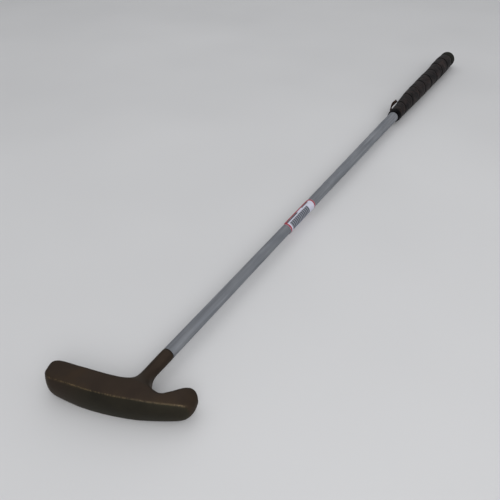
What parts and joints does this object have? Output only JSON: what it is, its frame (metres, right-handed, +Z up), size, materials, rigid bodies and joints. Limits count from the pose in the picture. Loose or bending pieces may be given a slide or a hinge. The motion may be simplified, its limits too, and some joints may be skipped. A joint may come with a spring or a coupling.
{
  "type": "putter",
  "caption": "Golf putter lying flat: a rocker-shaped bronze head on a stepped steel shaft, and a dark grip wound with leather whose end has come loose at the mouth.",
  "frame": {"origin": "on the head's lower flat face, which lies on the floor, straight below the shaft's line and 47 mm before the hosel's end", "axes": "+X up the shaft towards the grip, +Y towards the toe, +Z up from the floor"},
  "size_m": [0.8804, 0.1119, 0.0264],
  "materials": {
    "bronze": "dark brown patina, worn bright along the sole's edge",
    "steel": "dull satin grey",
    "paper": "printed paper, red border, plain grey stripes",
    "underlay": "matt",
    "leather": "worn, dark grey-brown",
    "black_plastic": "black, slightly glossy",
    "cap_rubber": "dark olive grey, matt"
  },
  "bodies": {
    "root": {"head": "bronze", "shaft": "steel", "shaft_label": "paper", "grip_sleeve": "underlay", "leather_wrap": "leather", "grip_collar": "black_plastic", "butt_cap": "cap_rubber"}
  },
  "joints": []
}
